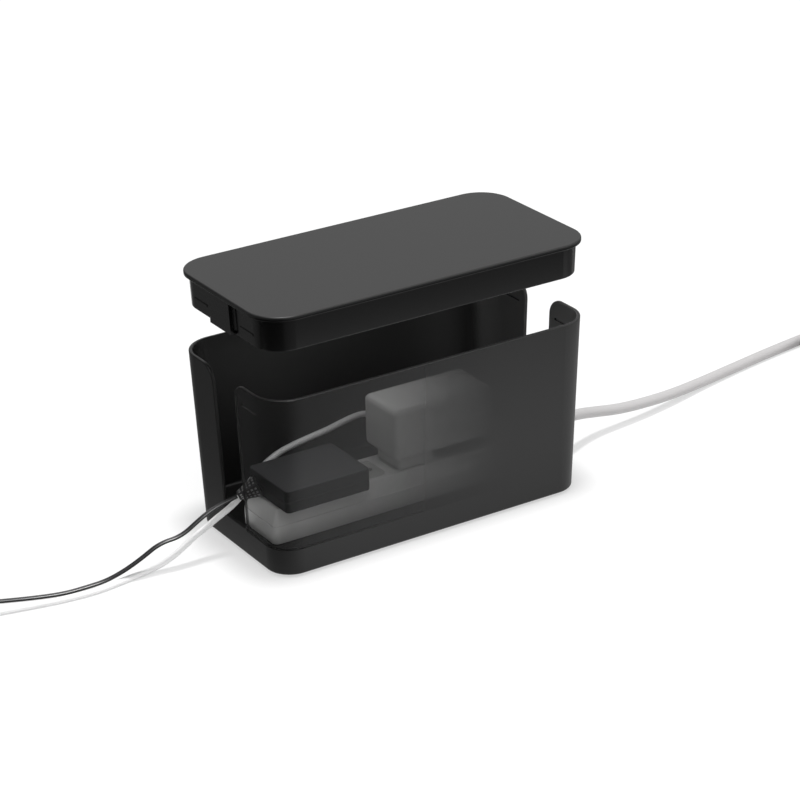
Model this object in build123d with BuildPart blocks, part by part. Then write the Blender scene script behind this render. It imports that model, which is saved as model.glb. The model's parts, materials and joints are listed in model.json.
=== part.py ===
from build123d import *
import math
import os

# ---------------------------------------------------------------- driving dimensions (mm)
# Origin: middle of the footprint, at the bottom of the rubber feet. X is the long way, Z is up.

# box
RIM_LENGTH = 235.4  # outside, across the ends at the rim
RIM_WIDTH = 116.4  # outside, front to back at the rim
RIM_RADIUS = 21.7  # vertical corners, measured at the rim
WALL_LEAN = 5.2  # how far each wall comes in from the rim to the bottom edge
BODY_HEIGHT = 119.0  # bottom edge to rim
WALL = 2.4
FLOOR_LEVEL = 16.0  # top of the raised floor, above the bottom edge
FLOOR_THICK = 2.4
BASE_EDGE = 2.0  # rounding of the bottom edge
RIM_EDGE = 0.8  # rounding of the rim and of the slots
INNER_EDGE = 2.0  # rounding where the floor meets the walls
RIB_THICK = 1.6
RIB_RISE = 2.5  # the ribs stop this far above the bottom edge

# cord slots
SLOT_WIDTH = 26.5
SLOT_BOTTOM = 18.7  # above the bottom edge
SLOT_MOUTH_RADIUS = 11.0
SLOT_FOOT_RADIUS = 3.0

# snap between lid and box
SNAP_DROP = 13.0  # below the rim
SNAP_LENGTH = 16.0
SNAP_OFFSET = 28.0  # middle of each snap, from the middle of the end
SNAP_PROUD = 0.4
SNAP_RADIUS = 0.6
SNAP_CLEAR = 0.3

# rubber feet
FOOT_RADIUS = 5.3
FOOT_STAND = 1.5  # what shows below the bottom edge
FOOT_SOCKET = 1.2  # depth of the recess that holds a foot
FOOT_CLEAR = 0.15
FOOT_EDGE = 0.5
FOOT_INSET_X = 20.5  # from the bottom outline to a foot's middle
FOOT_INSET_Y = 20.0
BOSS_RADIUS = 8.0

# lid
LID_PROUD = 0.3  # how far its edge stands out past the box's rim
LID_PLATE = 3.0
LID_TOP_EDGE = 1.0
LID_UNDER_EDGE = 0.5
LID_CLEAR = 0.5  # skirt to box wall
LID_GAP = 0.2  # plate to rim, lid closed
LID_RAISE = 50.0  # how far the lid is lifted off as stored
SKIRT_HEIGHT = 20.5
SKIRT_WALL = 2.0
SKIRT_EDGE = 0.8
TONGUE_CLEAR = 0.6
TONGUE_SET_BACK = 0.2  # the tongue's face behind the box's face
RELIEF_WIDTH = 3.2  # windows that free the tongue's sides
RELIEF_TOP = 2.5
RELIEF_FOOT = 1.5

# power strip
STRIP_LEFT = -107.5
STRIP_LENGTH = 195.5
STRIP_WIDTH = 40.0
STRIP_MIDDLE_Y = -18.5
STRIP_CORNER = 4.0
STRIP_BASE_HEIGHT = 12.0
STRIP_HEIGHT = 22.0
STRIP_CHAMFER = 4.5  # how far the cover's shoulders come in
STRIP_WALL = 2.0
STRIP_SEAM = 0.5  # step of the cover inside the base's outline
STRIP_EDGE = 0.8

# sockets
SOCKET_COUNT = 4
SOCKET_FIRST_X = -71.0
SOCKET_PITCH = 35.5
SOCKET_LENGTH = 29.0
SOCKET_WIDTH = 25.0
SOCKET_CORNER = 5.0
SOCKET_DEPTH = 4.7
SOCKET_RECESS = 0.3  # the face lies this far below the cover
SOCKET_FLANGE = 1.5
SOCKET_CLEAR = 0.1
BLADE_GAUGE = 12.7  # between the two blades
BLADE_THICK = 1.5
BLADE_WIDTH = 6.35
BLADE_LENGTH = 15.9
BLADE_CLEAR = 0.25
BLADE_SHIFT = -4.0  # blades from the middle of a socket's face
BLADE_HOLE_RISE = 3.9
BLADE_ROOT = 1.5  # how far the blades reach past the adapter's wall
EARTH_OFFSET = 11.9
EARTH_RADIUS = 2.4

# contact bars
BAR_SHEET = 0.8
BAR_RISE = 1.5  # on the ribs of the strip's floor
BAR_HEIGHT = 13.0
BAR_CLIP_LENGTH = 12.0
BAR_END = 8.0  # from the strip's left end
BAR_TAIL = 17.5  # from the strip's right end
EARTH_BAR_WIDTH = 6.0
EARTH_CLIP_HEIGHT = 9.0

# strip screws
SCREW_RADIUS = 1.45
SCREW_HEAD_RADIUS = 2.8
SCREW_HEAD_HEIGHT = 1.8
SCREW_LENGTH = 12.0
SCREW_POST_RADIUS = 4.2
SCREW_POST_HEIGHT = 4.5
SCREW_SINK = 0.3
SCREW_FROM_LEFT = 9.0
SCREW_FROM_RIGHT = 31.0
SCREW_BOSS_RADIUS = 3.2
SCREW_OFFSET_Y = 13.0
SCREW_CLEAR = 0.15

# adapter
ADAPTER_LEFT = -101.5
ADAPTER_LENGTH = 60.0
ADAPTER_WIDTH = 47.0
ADAPTER_FRONT = -44.5
ADAPTER_HEIGHT = 14.5
ADAPTER_CORNER = 3.0
ADAPTER_SEAM = 7.0  # height of the seam
ADAPTER_WALL = 1.6
ADAPTER_EDGE = 1.0
REST_GAP = 0.1  # adapter and charger above the strip

# charger
CHARGER_LEFT = -18.0
CHARGER_LENGTH = 74.0
CHARGER_WIDTH = 38.0
CHARGER_FRONT = -36.5
CHARGER_BOTTOM = 8.0  # its case above the strip
CHARGER_HEIGHT = 34.5
CHARGER_ROUND = 4.0
CHARGER_CAP = 6.0  # length of the end cap
CHARGER_SEAM = 0.4
CHARGER_WALL = 2.0
PLUG_BASE_LENGTH = 26.0
PLUG_BASE_WIDTH = 26.5
PLUG_BASE_ROUND = 2.0

# strain reliefs
GROOVE_DEPTH = 0.7
SLEEVE_GAP = 0.2
LEAD_Y = -8.5  # where the lead leaves the strip
LEAD_NECK = 5.0
LEAD_COLLAR = 5.9
LEAD_COLLAR_DEPTH = 6.6
LEAD_SLEEVE = 22.0

ADAPTER_LEAD_Y = -9.0
ADAPTER_LEAD_RISE = 5.2
ADAPTER_SLEEVE_FOOT = (13.0, 9.0)
ADAPTER_SLEEVE_TIP = (5.0, 5.0)
CHARGER_LEAD_X = -0.8  # on the charger's back, near its left end
CHARGER_LEAD_RISE = 14.6
CHARGER_SLEEVE_FOOT = (7.0, 7.0)
CHARGER_SLEEVE_TIP = (5.0, 5.0)
SEAM_CHAMFER = 0.3

# inside the adapter and the charger
BOARD_THICK = 1.2
CAPACITOR_RADIUS = 2.6
CAPACITOR_HEIGHT = 7.0
TRANSFORMER_SIZE = 15.0

# mains lead, with its plug
MAINS_RADIUS = 3.7
MAINS_TURN = 40.7  # middle turn of the coil
MAINS_COIL = (415.6, 3.1)
MAINS_ROUTE = [
    (110.4, -8.5, 29.5),
    (123.0, -8.2, 29.0),
    (137.0, -4.6, 26.8),
    (152.0, 2.4, 22.6),
    (170.0, 7.6, 17.4),
    (190.0, 10.0, 13.2),
    (212.0, 12.8, 10.6),
    (241.0, 18.8, 7.3),
    (273.0, 27.4, 4.7),
    (311.0, 35.8, 3.75),
    (348.0, 42.6, 3.75),
    (381.0, 47.5, 3.75),
    (410.0, 50.9, 3.75),
]
PLUG_LENGTH = 38.0
PLUG_OFFSET = 9.0  # right of the coil's middle
PLUG_HEAD = 18.0
PLUG_WIDTH = 25.0
PLUG_HEIGHT = 22.0
PLUG_NECK_WALL = 3.0
EARTH_LENGTH = 19.0
CORE_RADIUS = 1.1
CORE_SPREAD = 2.8
CORE_BEND = 2.0
CORE_RISE = 6.0

# adapter lead, with its barrel connector
DC_RADIUS = 1.75
DC_THICK = 1.95  # the lead is flat, and lies flat in its coil
DC_TURN = 19.5
DC_COIL = (-281.8, 54.5)
DC_ROUTE = [
    (-114.0, -5.0, 39.8),
    (-120.7, -2.9, 37.2),
    (-130.0, -1.8, 34.2),
    (-139.0, -2.2, 30.4),
    (-152.5, -2.0, 26.0),
    (-166.5, 0.0, 21.2),
    (-179.0, 0.8, 15.6),
    (-191.0, 2.4, 9.6),
    (-202.0, 5.0, 5.2),
    (-214.0, 7.0, 2.6),
    (-229.0, 9.4, 1.8),
    (-247.0, 15.4, 1.8),
    (-269.0, 25.0, 1.8),
    (-290.0, 33.0, 1.8),
]
DC_BODY_LENGTH = 26.0
DC_BODY_RADIUS = 4.6
BARREL_RADIUS = 2.75
BARREL_BORE = 1.25
BARREL_LENGTH = 9.5

# charger lead, with its flat connector
USB_RADIUS = 2.0
USB_TURN = 22.0
USB_COIL = (-311.8, -6.8)
USB_ROUTE = [
    (-4.5, 9.9, 60.9),
    (-7.2, 16.2, 59.9),
    (-12.4, 20.9, 57.6),
    (-21.0, 22.6, 55.0),
    (-32.5, 20.8, 53.6),
    (-46.2, 18.2, 53.4),
    (-60.5, 15.4, 52.9),
    (-73.5, 12.6, 52.0),
    (-86.0, 10.0, 50.0),
    (-98.5, 6.5, 44.6),
    (-107.0, 2.5, 38.8),
    (-113.5, 1.0, 34.0),
    (-119.5, 0.2, 29.4),
    (-126.0, 0.6, 26.0),
    (-134.0, 1.4, 22.6),
    (-141.0, 1.2, 18.4),
    (-148.5, 1.4, 13.4),
    (-156.5, 1.6, 8.6),
    (-165.5, 2.8, 4.4),
    (-177.0, 3.4, 2.2),
    (-192.0, 1.8, 2.05),
    (-209.0, -1.0, 2.05),
    (-231.0, 0.6, 2.05),
    (-252.0, 4.8, 2.05),
    (-270.0, 8.8, 2.05),
    (-288.0, 13.4, 2.05),
    (-304.6, 18.2, 2.05),
]
USB_BODY = (12.0, 6.5, 24.0)  # width, height, length
USB_TONGUE = (8.3, 2.6, 6.5)
ARC_SHARE = 0.45  # of the shorter run beside a corner

# ---------------------------------------------------------------- places worked out from them
BODY_BOTTOM = FOOT_STAND
RIM_Z = BODY_BOTTOM + BODY_HEIGHT
FLOOR_Z = BODY_BOTTOM + FLOOR_LEVEL
UNDER_FLOOR = FLOOR_LEVEL - FLOOR_THICK
STRIP_TOP = FLOOR_Z + STRIP_HEIGHT
STRIP_RIGHT = STRIP_LEFT + STRIP_LENGTH
STRIP_MIDDLE_X = STRIP_LEFT + STRIP_LENGTH / 2
STRIP_SPLIT = FLOOR_Z + STRIP_BASE_HEIGHT
SOCKETS_X = [SOCKET_FIRST_X + SOCKET_PITCH * n for n in range(SOCKET_COUNT)]
REST_Z = STRIP_TOP + REST_GAP


def lean_at(height):
    """How far the wall stands inside the rim's outline, at a height above the bottom edge."""
    return WALL_LEAN * (1 - height / BODY_HEIGHT)


def wall_section(height, inset, raised=0):
    """The box's outline at a height, moved in by an inset, as a sketch on its own level."""
    inward = lean_at(height) + inset
    with BuildSketch(Plane.XY.offset(BODY_BOTTOM + height + raised)) as section:
        RectangleRounded(RIM_LENGTH - 2 * inward, RIM_WIDTH - 2 * inward, RIM_RADIUS - inward)
    return section.sketch


def wall_block(low, high, inset, raised=0, mode=Mode.ADD):
    """A block with the box's leaning sides, between two heights above the bottom edge."""
    loft([wall_section(low, inset, raised), wall_section(high, inset, raised)], ruled=True, mode=mode)


def snap_places(height, inset):
    """The middles of the four snaps, on a wall face with the given inset."""
    reach = RIM_LENGTH / 2 - lean_at(height) - inset
    return [
        (side * reach, row * SNAP_OFFSET, BODY_BOTTOM + height)
        for side in (-1, 1)
        for row in (-1, 1)
    ]


def finish(built, label):
    built.part.label = label
    export_step(built.part, f"parts/{label}.step")
    return built.part


os.makedirs("parts", exist_ok=True)

# ---------------------------------------------------------------- box shell
# One moulding: a tub with leaning walls, a raised floor, ribs and foot bosses under it, and an
# open-topped slot in each end for the cords.
SNAP_HEIGHT = BODY_HEIGHT - SNAP_DROP
BOTTOM_LENGTH = RIM_LENGTH - 2 * WALL_LEAN
BOTTOM_WIDTH = RIM_WIDTH - 2 * WALL_LEAN
FEET_X = BOTTOM_LENGTH / 2 - FOOT_INSET_X
FEET_Y = BOTTOM_WIDTH / 2 - FOOT_INSET_Y
RIB_BITE = WALL / 2  # the ribs run this far into the wall
CROSS_RIBS_X = [-FEET_X / 3, FEET_X / 3]

with BuildPart() as box_shell:
    wall_block(0, BODY_HEIGHT, 0)
    fillet(box_shell.faces().sort_by(Axis.Z)[0].edges(), BASE_EDGE)
    wall_block(FLOOR_LEVEL, BODY_HEIGHT, WALL, mode=Mode.SUBTRACT)
    floor_edges = box_shell.edges().filter_by_position(Axis.Z, FLOOR_Z - 0.01, FLOOR_Z + 0.01)
    fillet(floor_edges, INNER_EDGE)
    wall_block(0, UNDER_FLOOR, WALL, mode=Mode.SUBTRACT)
    # ribs under the floor
    with BuildSketch(Plane.XY.offset(BODY_BOTTOM + RIB_RISE)):
        with Locations((0, -FEET_Y), (0, FEET_Y)):
            Rectangle(BOTTOM_LENGTH - 2 * RIB_BITE, RIB_THICK)
        with Locations(*[(x, 0) for x in (-FEET_X, *CROSS_RIBS_X, FEET_X)]):
            Rectangle(RIB_THICK, BOTTOM_WIDTH - 2 * RIB_BITE)
    extrude(amount=UNDER_FLOOR - RIB_RISE)
    # bosses that hold the feet
    with BuildSketch(Plane.XY.offset(BODY_BOTTOM)):
        with GridLocations(2 * FEET_X, 2 * FEET_Y, 2, 2):
            Circle(BOSS_RADIUS)
    extrude(amount=UNDER_FLOOR)
    with BuildSketch(Plane.XY.offset(BODY_BOTTOM)):
        with GridLocations(2 * FEET_X, 2 * FEET_Y, 2, 2):
            Circle(FOOT_RADIUS + FOOT_CLEAR)
    extrude(amount=FOOT_SOCKET, mode=Mode.SUBTRACT)
    # slots in both ends
    with BuildSketch(Plane.YZ) as slot:
        with Locations((0, BODY_BOTTOM + (SLOT_BOTTOM + BODY_HEIGHT) / 2)):
            Rectangle(SLOT_WIDTH, BODY_HEIGHT - SLOT_BOTTOM)
        fillet(slot.vertices().group_by(Axis.Y)[0], SLOT_FOOT_RADIUS)
    extrude(amount=RIM_LENGTH, both=True, mode=Mode.SUBTRACT)
    mouth_edges = (
        box_shell.edges()
        .filter_by(Axis.X)
        .filter_by_position(Axis.Z, RIM_Z - 0.01, RIM_Z + 0.01)
        .filter_by(lambda edge: edge.length < 2 * WALL)
    )
    fillet(mouth_edges, SLOT_MOUTH_RADIUS)
    # rounded rim, all the way round each half and down into the slots
    rim_faces = box_shell.faces().filter_by(
        lambda face: face.center().Z > FLOOR_Z + INNER_EDGE
        and min(edge.length for edge in face.edges()) < 1.5 * WALL
        and not face.normal_at().Z < -0.1
    )
    rim_edges = rim_faces.edges().filter_by(lambda edge: edge.length > 1.5 * WALL)
    fillet(rim_edges, RIM_EDGE)
    # snap grooves inside the ends
    with Locations(*snap_places(SNAP_HEIGHT, WALL - SNAP_PROUD - SNAP_CLEAR / 2)):
        Cylinder(
            SNAP_RADIUS + SNAP_CLEAR,
            SNAP_LENGTH + 2 * SNAP_CLEAR,
            rotation=(90, 0, 0),
            mode=Mode.SUBTRACT,
        )
finish(box_shell, "box_shell")

# ---------------------------------------------------------------- rubber feet
with BuildPart() as rubber_feet:
    with BuildSketch():
        with GridLocations(2 * FEET_X, 2 * FEET_Y, 2, 2):
            Circle(FOOT_RADIUS)
    extrude(amount=FOOT_STAND + FOOT_SOCKET)
    fillet(rubber_feet.faces().group_by(Axis.Z)[0].edges(), FOOT_EDGE)
finish(rubber_feet, "rubber_feet")

# ---------------------------------------------------------------- lid
# A flat plate with a skirt that drops inside the box. At each end a springy tongue, freed by a
# window on either side, fills the mouth of the slot.
LID_SEAT = RIM_Z + LID_GAP
LID_Z = LID_SEAT + LID_RAISE
LID_LENGTH = RIM_LENGTH + 2 * LID_PROUD
LID_WIDTH = RIM_WIDTH + 2 * LID_PROUD
LIFTED = LID_GAP + LID_RAISE
SKIRT_LOW = BODY_HEIGHT - SKIRT_HEIGHT
SKIRT_INSET = WALL + LID_CLEAR
TONGUE_WIDTH = SLOT_WIDTH - 2 * TONGUE_CLEAR


def tongue_section(height):
    """Both tongues at once: a band across the lid, as long as the box is there."""
    length = RIM_LENGTH - 2 * (lean_at(height) + TONGUE_SET_BACK)
    with BuildSketch(Plane.XY.offset(BODY_BOTTOM + height + LIFTED)) as section:
        Rectangle(length, TONGUE_WIDTH)
    return section.sketch


with BuildPart() as lid_plate:
    with BuildSketch(Plane.XY.offset(LID_Z)):
        RectangleRounded(LID_LENGTH, LID_WIDTH, RIM_RADIUS + LID_PROUD)
    extrude(amount=LID_PLATE)
    fillet(lid_plate.faces().sort_by(Axis.Z)[-1].edges(), LID_TOP_EDGE)
    fillet(lid_plate.faces().sort_by(Axis.Z)[0].edges(), LID_UNDER_EDGE)

with BuildPart() as lid:
    wall_block(SKIRT_LOW, BODY_HEIGHT, SKIRT_INSET, raised=LIFTED)
    fillet(lid.faces().sort_by(Axis.Z)[0].edges(), SKIRT_EDGE)
    loft([tongue_section(SKIRT_LOW), tongue_section(BODY_HEIGHT)], ruled=True)
    wall_block(SKIRT_LOW, BODY_HEIGHT, SKIRT_INSET + SKIRT_WALL, raised=LIFTED, mode=Mode.SUBTRACT)
    # windows beside the tongues
    window_y = (TONGUE_WIDTH + RELIEF_WIDTH) / 2
    window_height = SKIRT_HEIGHT - RELIEF_TOP - RELIEF_FOOT
    with BuildSketch(Plane.YZ):
        with Locations(*[(y, LID_Z - RELIEF_TOP - window_height / 2) for y in (-window_y, window_y)]):
            Rectangle(RELIEF_WIDTH, window_height)
    extrude(amount=LID_LENGTH, both=True, mode=Mode.SUBTRACT)
    with Locations(*[(x, y, z + LIFTED) for x, y, z in snap_places(SNAP_HEIGHT, SKIRT_INSET)]):
        Box(SNAP_PROUD * 2, SNAP_LENGTH, SNAP_RADIUS * 2)
    add(lid_plate.part)
finish(lid, "lid")

# ---------------------------------------------------------------- power strip case
# Two mouldings, screwed together from below. The base is a tray, the cover leans in above the seam.
STRIP_FLOOR = FLOOR_Z + STRIP_WALL
COVER_HEIGHT = STRIP_HEIGHT - STRIP_BASE_HEIGHT
SCREW_PLACES = [
    (x, STRIP_MIDDLE_Y + side * SCREW_OFFSET_Y)
    for x in (STRIP_LEFT + SCREW_FROM_LEFT, STRIP_RIGHT - SCREW_FROM_RIGHT)
    for side in (-1, 1)
]
POST_TOP = FLOOR_Z + SCREW_POST_HEIGHT
HEAD_SEAT = FLOOR_Z + SCREW_SINK + SCREW_HEAD_HEIGHT
SCREW_TIP = HEAD_SEAT + SCREW_LENGTH
RIBS_X = [SOCKET_FIRST_X + SOCKET_PITCH * (n - 0.5) for n in range(SOCKET_COUNT + 1)]
LEAD_PLANE = Plane(origin=(STRIP_RIGHT, LEAD_Y, STRIP_SPLIT), x_dir=(0, 1, 0), z_dir=(1, 0, 0))


def strip_section(level, inset):
    """The strip's outline on a level, moved in by an inset."""
    with BuildSketch(Plane.XY.offset(level)) as section:
        with Locations((STRIP_MIDDLE_X, STRIP_MIDDLE_Y)):
            RectangleRounded(
                STRIP_LENGTH - 2 * inset,
                STRIP_WIDTH - 2 * inset,
                max(STRIP_CORNER - inset, STRIP_EDGE),
            )
    return section.sketch


def discs(places, level, radius, height, mode=Mode.ADD):
    """Upright round posts or holes at the given places."""
    with BuildSketch(Plane.XY.offset(level)) as rounds:
        with Locations(*places):
            Circle(radius)
    extrude(rounds.sketch, amount=height, mode=mode)


with BuildPart() as strip_base:
    extrude(strip_section(FLOOR_Z, 0), amount=STRIP_BASE_HEIGHT)
    fillet(strip_base.faces().sort_by(Axis.Z)[0].edges(), STRIP_EDGE)
    extrude(strip_section(STRIP_FLOOR, STRIP_WALL), amount=STRIP_BASE_HEIGHT, mode=Mode.SUBTRACT)
    with BuildSketch(Plane.XY.offset(STRIP_FLOOR)):
        with Locations(*[(x, STRIP_MIDDLE_Y) for x in RIBS_X]):
            Rectangle(STRIP_WALL, STRIP_WIDTH - STRIP_WALL)
    extrude(amount=BAR_RISE)
    discs(SCREW_PLACES, FLOOR_Z, SCREW_POST_RADIUS, SCREW_POST_HEIGHT)
    discs(SCREW_PLACES, FLOOR_Z, SCREW_RADIUS + SCREW_CLEAR, SCREW_POST_HEIGHT, Mode.SUBTRACT)
    discs(SCREW_PLACES, FLOOR_Z, SCREW_HEAD_RADIUS + SCREW_CLEAR, HEAD_SEAT - FLOOR_Z, Mode.SUBTRACT)
    with BuildSketch(LEAD_PLANE):
        Circle(LEAD_NECK)
    extrude(amount=STRIP_CORNER, both=True, mode=Mode.SUBTRACT)
finish(strip_base, "strip_base")

with BuildPart() as strip_cover:
    loft([strip_section(STRIP_SPLIT, STRIP_SEAM), strip_section(STRIP_TOP, STRIP_CHAMFER)], ruled=True)
    fillet(strip_cover.faces().sort_by(Axis.Z)[-1].edges(), STRIP_EDGE)
    inner_top = STRIP_TOP - STRIP_WALL
    inner_inset = STRIP_CHAMFER - (STRIP_CHAMFER - STRIP_SEAM) * STRIP_WALL / COVER_HEIGHT
    loft(
        [
            strip_section(STRIP_SPLIT, STRIP_SEAM + STRIP_WALL),
            strip_section(inner_top, inner_inset + STRIP_WALL),
        ],
        ruled=True,
        mode=Mode.SUBTRACT,
    )
    discs(SCREW_PLACES, POST_TOP, SCREW_BOSS_RADIUS, inner_top - POST_TOP)
    discs(SCREW_PLACES, POST_TOP, SCREW_RADIUS + SCREW_CLEAR / 2, SCREW_TIP + 1 - POST_TOP, Mode.SUBTRACT)
    with BuildSketch(Plane.XY.offset(inner_top)):
        with Locations(*[(x, STRIP_MIDDLE_Y) for x in SOCKETS_X]):
            RectangleRounded(
                SOCKET_LENGTH + 2 * SOCKET_CLEAR, SOCKET_WIDTH + 2 * SOCKET_CLEAR, SOCKET_CORNER
            )
    extrude(amount=STRIP_WALL, mode=Mode.SUBTRACT)
    with BuildSketch(LEAD_PLANE):
        Circle(LEAD_NECK)
    extrude(amount=STRIP_CHAMFER + STRIP_WALL, both=True, mode=Mode.SUBTRACT)
finish(strip_cover, "strip_cover")

# ---------------------------------------------------------------- socket faces
FACE_TOP = STRIP_TOP - SOCKET_RECESS
with BuildPart() as socket_inserts:
    with BuildSketch(Plane.XY.offset(FACE_TOP - SOCKET_DEPTH)):
        with Locations(*[(x, STRIP_MIDDLE_Y) for x in SOCKETS_X]):
            RectangleRounded(SOCKET_LENGTH, SOCKET_WIDTH, SOCKET_CORNER)
    extrude(amount=SOCKET_DEPTH)
    fillet(socket_inserts.faces().group_by(Axis.Z)[-1].edges(), SOCKET_RECESS)
    with BuildSketch(Plane.XY.offset(inner_top - SOCKET_FLANGE)):
        with Locations(*[(x, STRIP_MIDDLE_Y) for x in SOCKETS_X]):
            Rectangle(SOCKET_LENGTH + 2 * SOCKET_FLANGE, SOCKET_WIDTH - 2 * SOCKET_CORNER)
    extrude(amount=SOCKET_FLANGE)
    with BuildSketch(Plane.XY.offset(FACE_TOP - SOCKET_DEPTH)):
        for row in (-1, 1):
            with Locations(*[(x + BLADE_SHIFT, STRIP_MIDDLE_Y + row * BLADE_GAUGE / 2) for x in SOCKETS_X]):
                Rectangle(BLADE_WIDTH + 4 * BLADE_CLEAR, BLADE_THICK + 2 * BLADE_CLEAR)
        with Locations(*[(x + BLADE_SHIFT + EARTH_OFFSET, STRIP_MIDDLE_Y) for x in SOCKETS_X]):
            Circle(EARTH_RADIUS + BLADE_CLEAR)
    extrude(amount=SOCKET_DEPTH, mode=Mode.SUBTRACT)
finish(socket_inserts, "socket_inserts")

# ---------------------------------------------------------------- contact bars
# Bent from sheet: one long leaf, and at each socket a U whose second leaf grips the blade.
BAR_LOW = STRIP_FLOOR + BAR_RISE
BAR_START = STRIP_LEFT + BAR_END
BAR_STOP = STRIP_RIGHT - BAR_TAIL
LEAF = BLADE_THICK / 2 + BLADE_CLEAR + BAR_SHEET / 2  # from the blade's middle to a leaf's middle


def contact_bar(side, label):
    """A live bar on one side of the sockets. Its long leaf is the outer one."""
    blade_y = STRIP_MIDDLE_Y + side * BLADE_GAUGE / 2
    with BuildPart() as bar:
        with BuildSketch(Plane.YZ.offset(BAR_START)):
            with Locations((blade_y + side * LEAF, BAR_LOW + BAR_HEIGHT / 2)):
                Rectangle(BAR_SHEET, BAR_HEIGHT)
        extrude(amount=BAR_STOP - BAR_START)
        for x in SOCKETS_X:
            with BuildSketch(Plane.YZ.offset(x + BLADE_SHIFT)):
                with BuildLine():
                    Polyline(
                        (blade_y - 2 * side * LEAF, BAR_LOW + BAR_HEIGHT - BAR_SHEET / 2),
                        (blade_y - side * LEAF, BAR_LOW + BAR_HEIGHT - 2 * BAR_SHEET),
                        (blade_y - side * LEAF, BAR_LOW + BAR_SHEET / 2),
                        (blade_y + side * LEAF, BAR_LOW + BAR_SHEET / 2),
                    )
                trace(line_width=BAR_SHEET)
            extrude(amount=BAR_CLIP_LENGTH / 2, both=True)
    return finish(bar, label)


contact_bar(1, "line_bar")
contact_bar(-1, "neutral_bar")

with BuildPart() as earth_bar:
    with BuildSketch(Plane.XY.offset(BAR_LOW)):
        with Locations(((BAR_START + BAR_STOP) / 2, STRIP_MIDDLE_Y)):
            Rectangle(BAR_STOP - BAR_START, EARTH_BAR_WIDTH)
    extrude(amount=BAR_SHEET)
    earth_places = [(x + BLADE_SHIFT + EARTH_OFFSET, STRIP_MIDDLE_Y) for x in SOCKETS_X]
    discs(earth_places, BAR_LOW, EARTH_RADIUS + BLADE_CLEAR + BAR_SHEET, EARTH_CLIP_HEIGHT)
    discs(
        earth_places, BAR_LOW + BAR_SHEET, EARTH_RADIUS + BLADE_CLEAR, EARTH_CLIP_HEIGHT, Mode.SUBTRACT
    )
finish(earth_bar, "earth_bar")

# ---------------------------------------------------------------- strip screws
with BuildPart() as strip_screws:
    discs(SCREW_PLACES, FLOOR_Z + SCREW_SINK, SCREW_HEAD_RADIUS, SCREW_HEAD_HEIGHT)
    discs(SCREW_PLACES, HEAD_SEAT, SCREW_RADIUS, SCREW_LENGTH)
    with BuildSketch(Plane.XY.offset(FLOOR_Z + SCREW_SINK)):
        with Locations(*SCREW_PLACES):
            Rectangle(2 * SCREW_RADIUS, SCREW_SINK * 2)
            Rectangle(SCREW_SINK * 2, 2 * SCREW_RADIUS)
    extrude(amount=SCREW_HEAD_HEIGHT / 2, mode=Mode.SUBTRACT)
finish(strip_screws, "strip_screws")


# ---------------------------------------------------------------- strain reliefs
def relief_section(plane, along, sides):
    with BuildSketch(plane.offset(along)) as section:
        RectangleRounded(sides[0], sides[1], min(sides) * 0.45)
    return section.sketch


def ribbed_sleeve(plane, length, foot, tip, rings):
    """A tapered rubber sleeve along a plane's normal, from foot to tip size, with rings of grooves."""
    loft([relief_section(plane, 0, foot), relief_section(plane, length, tip)], ruled=True)
    core_foot = [size - 2 * GROOVE_DEPTH for size in foot]
    core_tip = [size - 2 * GROOVE_DEPTH for size in tip]
    core = loft(
        [relief_section(plane, 0, core_foot), relief_section(plane, length, core_tip)],
        ruled=True,
        mode=Mode.PRIVATE,
    )
    pitch = length / (rings + 1)
    for ring in range(1, rings + 1):
        slab = plane.offset(ring * pitch) * Box(2 * foot[0], 2 * foot[1], pitch / 2, mode=Mode.PRIVATE)
        add(slab - core, mode=Mode.SUBTRACT)


with BuildPart() as mains_relief:
    ribbed_sleeve(LEAD_PLANE.offset(SLEEVE_GAP), LEAD_SLEEVE, (12, 12), (9, 9), 6)
    with BuildSketch(LEAD_PLANE.offset(SLEEVE_GAP)):
        Circle(LEAD_NECK - SLEEVE_GAP)
    extrude(amount=-LEAD_COLLAR_DEPTH)
    with BuildSketch(LEAD_PLANE.offset(-LEAD_COLLAR_DEPTH)):
        Circle(LEAD_COLLAR)
    extrude(amount=STRIP_SEAM * 3)
finish(mains_relief, "mains_relief")

# ---------------------------------------------------------------- blades
def blade_pair(middle_x, top, label):
    """Two flat contact blades, chamfered and pierced near the tip."""
    with BuildPart() as blades:
        with BuildSketch(Plane.XZ.offset(-STRIP_MIDDLE_Y)) as profile:
            with Locations((middle_x, top - (top - REST_Z + BLADE_LENGTH) / 2)):
                Rectangle(BLADE_WIDTH, top - REST_Z + BLADE_LENGTH)
            chamfer(profile.vertices().group_by(Axis.Y)[0], BLADE_THICK)
            with Locations((middle_x, REST_Z - BLADE_LENGTH + BLADE_HOLE_RISE)):
                Circle(BLADE_THICK, mode=Mode.SUBTRACT)
        for row in (-1, 1):
            low = -row * BLADE_GAUGE / 2 - BLADE_THICK / 2
            extrude(profile.sketch.moved(Location((0, -low, 0))), amount=BLADE_THICK)
    return finish(blades, label)


blade_pair(SOCKETS_X[0] + BLADE_SHIFT, REST_Z + ADAPTER_WALL + BLADE_ROOT, "adapter_blades")
blade_pair(SOCKETS_X[2] + BLADE_SHIFT, REST_Z + CHARGER_BOTTOM - CHARGER_WALL, "charger_blades")

# ---------------------------------------------------------------- adapter
# A flat black plug-in adapter in two half shells, lying on the strip over the first socket.
ADAPTER_X = ADAPTER_LEFT + ADAPTER_LENGTH / 2
ADAPTER_Y = ADAPTER_FRONT + ADAPTER_WIDTH / 2
ADAPTER_SPLIT = REST_Z + ADAPTER_SEAM
ADAPTER_TOP = REST_Z + ADAPTER_HEIGHT


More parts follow.
